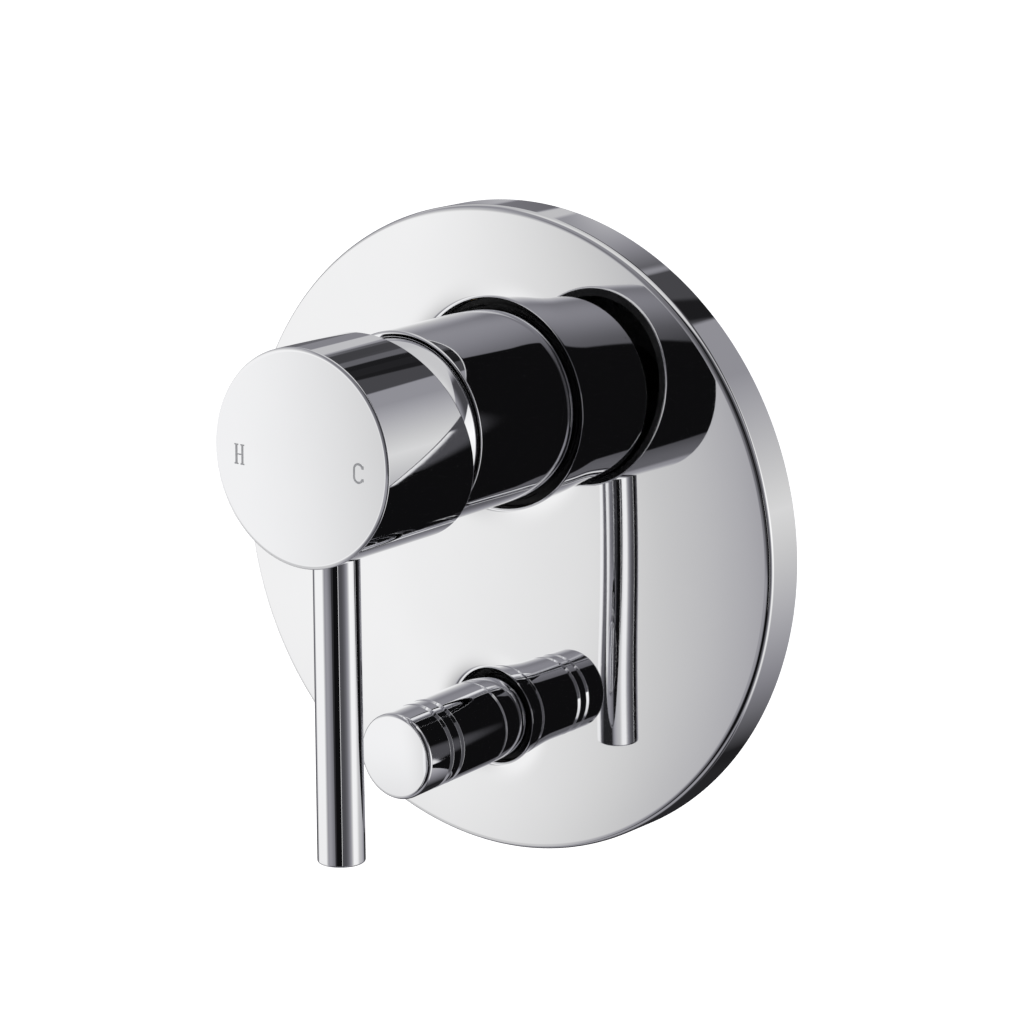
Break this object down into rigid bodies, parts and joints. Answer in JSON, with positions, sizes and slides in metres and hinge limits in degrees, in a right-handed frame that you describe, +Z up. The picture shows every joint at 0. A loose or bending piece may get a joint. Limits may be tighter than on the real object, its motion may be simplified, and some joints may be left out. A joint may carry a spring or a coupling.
{
  "type": "concealed single-lever shower mixer with diverter",
  "caption": "Concealed shower mixer: round mirror-chrome wall plate, drum knob with hanging pin lever, small pull diverter knob, and the brass body and cartridge behind it.",
  "frame": {"origin": "centre of the round plate on the finished wall", "axes": "+Z up, -Y out of the wall towards the user, +X to the user's right (cold side)"},
  "size_m": [0.15, 0.1142, 0.15],
  "materials": {
    "chrome_polished": "mirror-polished chrome plating",
    "brass_cast": "sand-cast brass, machined mouths",
    "brass_turned": "fine turned brass",
    "plastic_white": "moulded plastic, satin",
    "plastic_grey": "moulded plastic, satin",
    "ceramic_white": "lapped alumina ceramic, opaque",
    "steel_bright": "bright stainless steel",
    "steel_dark": "black-oxide steel",
    "rubber_black": "matt rubber",
    "foam_black": "closed-cell foam",
    "letter_grey": "grey enamel filling"
  },
  "bodies": {
    "valve": {"face_plate": "chrome_polished", "plate_gasket": "foam_black", "plate_seal_upper": "rubber_black", "plate_seal_lower": "rubber_black", "mixer_body": "brass_cast", "cartridge_base": "plastic_white", "base_seals": "rubber_black", "fixed_disc": "ceramic_white", "cartridge_housing": "plastic_white", "cartridge_nut": "brass_turned", "cover_sleeve": "chrome_polished", "sleeve_o_ring": "rubber_black", "dome_ring": "chrome_polished", "diverter_bonnet": "brass_turned", "spindle_o_ring": "rubber_black", "diverter_spring": "steel_bright", "diverter_sleeve": "chrome_polished"},
    "turn": {"cartridge_rotor": "plastic_grey", "stem_pin": "steel_bright"},
    "discs": {"moving_disc": "ceramic_white", "disc_carrier": "plastic_grey"},
    "handle": {"cartridge_stem": "brass_turned", "handle_knob": "chrome_polished", "lever_pin": "chrome_polished", "knob_marks": "letter_grey", "knob_grub_screw": "steel_dark"},
    "diverter": {"diverter_spindle": "brass_turned", "diverter_washer": "rubber_black", "washer_screw": "steel_bright", "diverter_knob": "chrome_polished", "diverter_grub_screw": "steel_dark"}
  },
  "joints": [
    {"name": "handle_turn", "type": "hinge", "parent": "valve", "child": "turn", "pos_m": [0, -0.041, 0.0289], "axis": [0, -1, 0], "range_deg": [-45, 45]},
    {"name": "handle_tilt", "type": "hinge", "parent": "turn", "child": "handle", "pos_m": [0, -0.041, 0.0289], "axis": [-1, 0, 0], "range_deg": [0, 25]},
    {"name": "disc_slide", "type": "slide", "parent": "turn", "child": "discs", "axis": [0, 0, -1], "range_m": [0, 0.0068]},
    {"name": "diverter_pull", "type": "slide", "parent": "valve", "child": "diverter", "axis": [0, -1, 0], "range_m": [0, 0.007], "stiffness_N_per_m": 400, "springref_m": -0.01, "deforming": ["diverter_spring"]}
  ],
  "couplings": [
    {"joint": "disc_slide", "follows": "handle_tilt", "m_per_rad": 0.0155}
  ]
}
